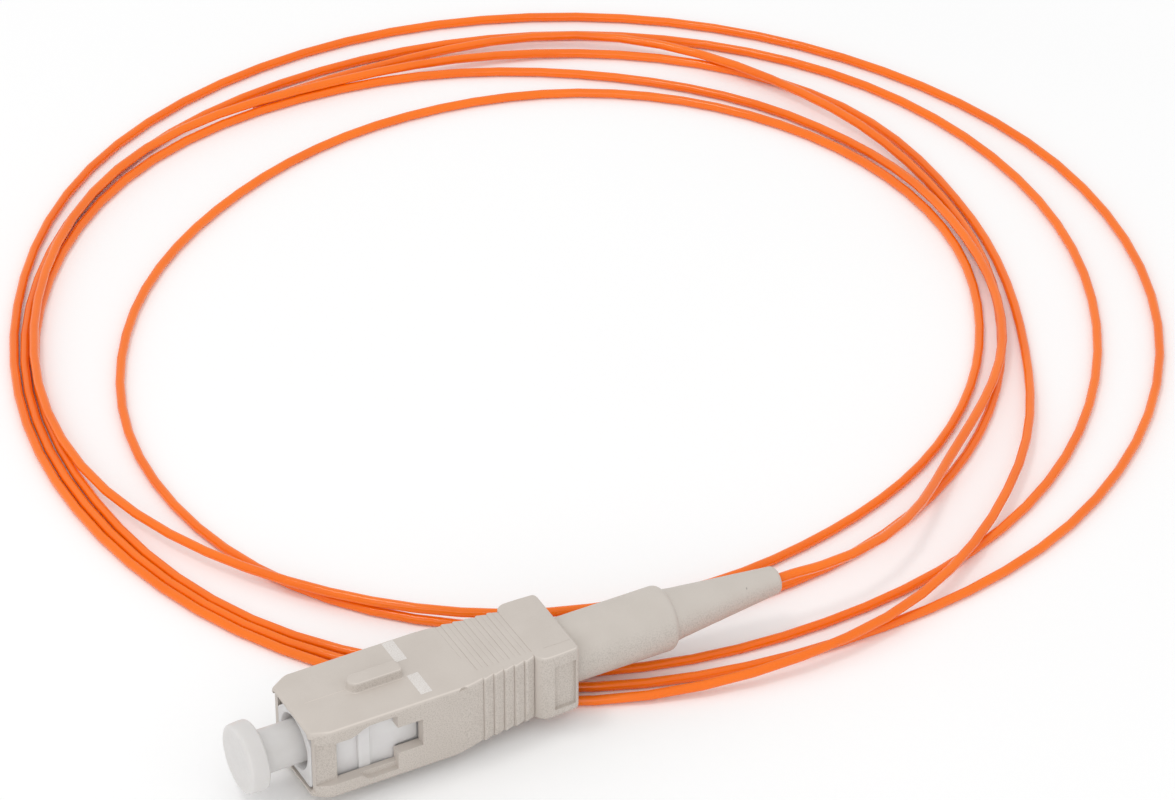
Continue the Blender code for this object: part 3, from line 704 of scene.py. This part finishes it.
def add_boot(finish):
    """The boot: barrel, rounded shoulder and a long taper to the fibre."""
    profile = [(BOOT_FRONT, 1.95), (BOOT_FRONT, 2.9), (22.05, BOOT_RADIUS), (30.0, BOOT_RADIUS),
               (36.1, BOOT_RADIUS)]
    profile += arc(36.3, 2.3, 0.7, 84, 14, 8)
    profile += [(37.12, 2.46), (37.3, 2.4), (37.6, 2.35), (38.1, 2.28), (42.0, 1.88)]
    profile += arc(47.72, 0.82, 0.47, 84, 12, 6)
    profile += [(BOOT_TIP_X, 0.84), (BOOT_TIP_X, 0.8), (48.12, 0.75), (29.45, 0.75), (29.45, 1.95)]
    boot = turned("boot_moulding", profile)
    finish_mesh(boot, finish, "core", ["boot"], angle=45)


def add_cap(finish):
    """The dust cap: a rounded head with a shallow dish, and a tubular stem."""
    profile = [(-4.56, 0.0), (-4.57, 2.3), (CAP_FRONT, 2.6), (CAP_FRONT, 2.75)]
    profile += arc(-4.28, 2.82, 0.32, 170, 95, 6)
    profile += [(-3.9, 3.17), (-3.5, 3.2)]
    profile += arc(-3.15, 2.86, 0.34, 85, 5, 6)
    profile += [(-2.8, 2.6), (-2.8, 2.15)]
    profile += arc(-2.66, 2.12, 0.14, 190, 265, 4)
    profile += [(-1.8, 1.96), (4.8, 1.93), (4.93, 1.9), (CAP_REAR, 1.82), (CAP_REAR, CAP_BORE),
                (-2.5, CAP_BORE), (-2.5, 0.0)]
    cap = turned("cap_moulding", profile)
    finish_mesh(cap, finish, "cap", ["dust_cap"], angle=40)


def paint_nodes():
    """Finishes for the solids that keep their own shape."""
    finishes = {
        "ferrule": ceramic("zirconia"),
        "ferrule_flange": nickel("plated_flange", (0.62, 0.6, 0.56)),
        "back_post": nickel("plated_post", (0.66, 0.64, 0.6)),
    }
    for node, finish in finishes.items():
        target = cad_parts[node]
        target.data.materials.clear()
        target.data.materials.append(finish)


# Stage

FLOOR_HALF = 1500.0
SURROUND_STRENGTH = 0.84
LIGHT_TARGET = (0.03, 0.02, 0.0)


def area_light(name, place, size, power):
    """A soft square light aimed at the object."""
    data = bpy.data.lights.new(name, "AREA")
    data.energy = power
    data.size = size
    light = bpy.data.objects.new(name, data)
    bpy.context.scene.collection.objects.link(light)
    light.location = place
    sight = Vector(LIGHT_TARGET) - Vector(place)
    light.rotation_euler = sight.to_track_quat("-Z", "Y").to_euler()


def add_stage():
    """A plain pale floor, a pale surround and soft lights."""
    signs = ((-1, -1), (1, -1), (1, 1), (-1, 1))
    floor = add_mesh("floor", [(a * FLOOR_HALF, b * FLOOR_HALF, FLOOR_Z) for a, b in signs], [(0, 1, 2, 3)])
    floor.data.materials.append(pale_floor("floor"))
    world = bpy.data.worlds.new("surround")
    world.use_nodes = True
    background = world.node_tree.nodes["Background"]
    background.inputs["Color"].default_value = (1.0, 1.0, 1.0, 1.0)
    background.inputs["Strength"].default_value = SURROUND_STRENGTH
    bpy.context.scene.world = world
    bpy.context.scene.view_settings.view_transform = "Standard"
    area_light("key_light", (-0.2, 0.1, 0.75), 0.18, 0.75)
    area_light("fill_light", (-0.5, -0.6, 0.5), 0.6, 1.2)


add_camera()
add_fibre(buffer_orange("orange_buffer"))
beige = moulded_plastic("beige_plastic", (0.60, 0.545, 0.495), (0.58, 0.525, 0.475), (0.42, 0.375, 0.33),
                        0.52, 0.03, 0.8)
add_sleeve(beige)
add_marks(chalk("rubbed_ink"))
white = soft_white("white_plastic", (0.72, 0.71, 0.7), (0.69, 0.67, 0.665), 0.38, 1.6)
add_frame(white)
boot_plastic = moulded_plastic("boot_plastic", (0.60, 0.55, 0.50), (0.58, 0.53, 0.48), (0.42, 0.38, 0.34),
                               0.5, 0.025, 0.0)
add_boot(boot_plastic)
add_cap(soft_white("cap_plastic", (0.67, 0.65, 0.635), (0.65, 0.63, 0.615), 0.36, 1.2))
paint_nodes()
add_stage()
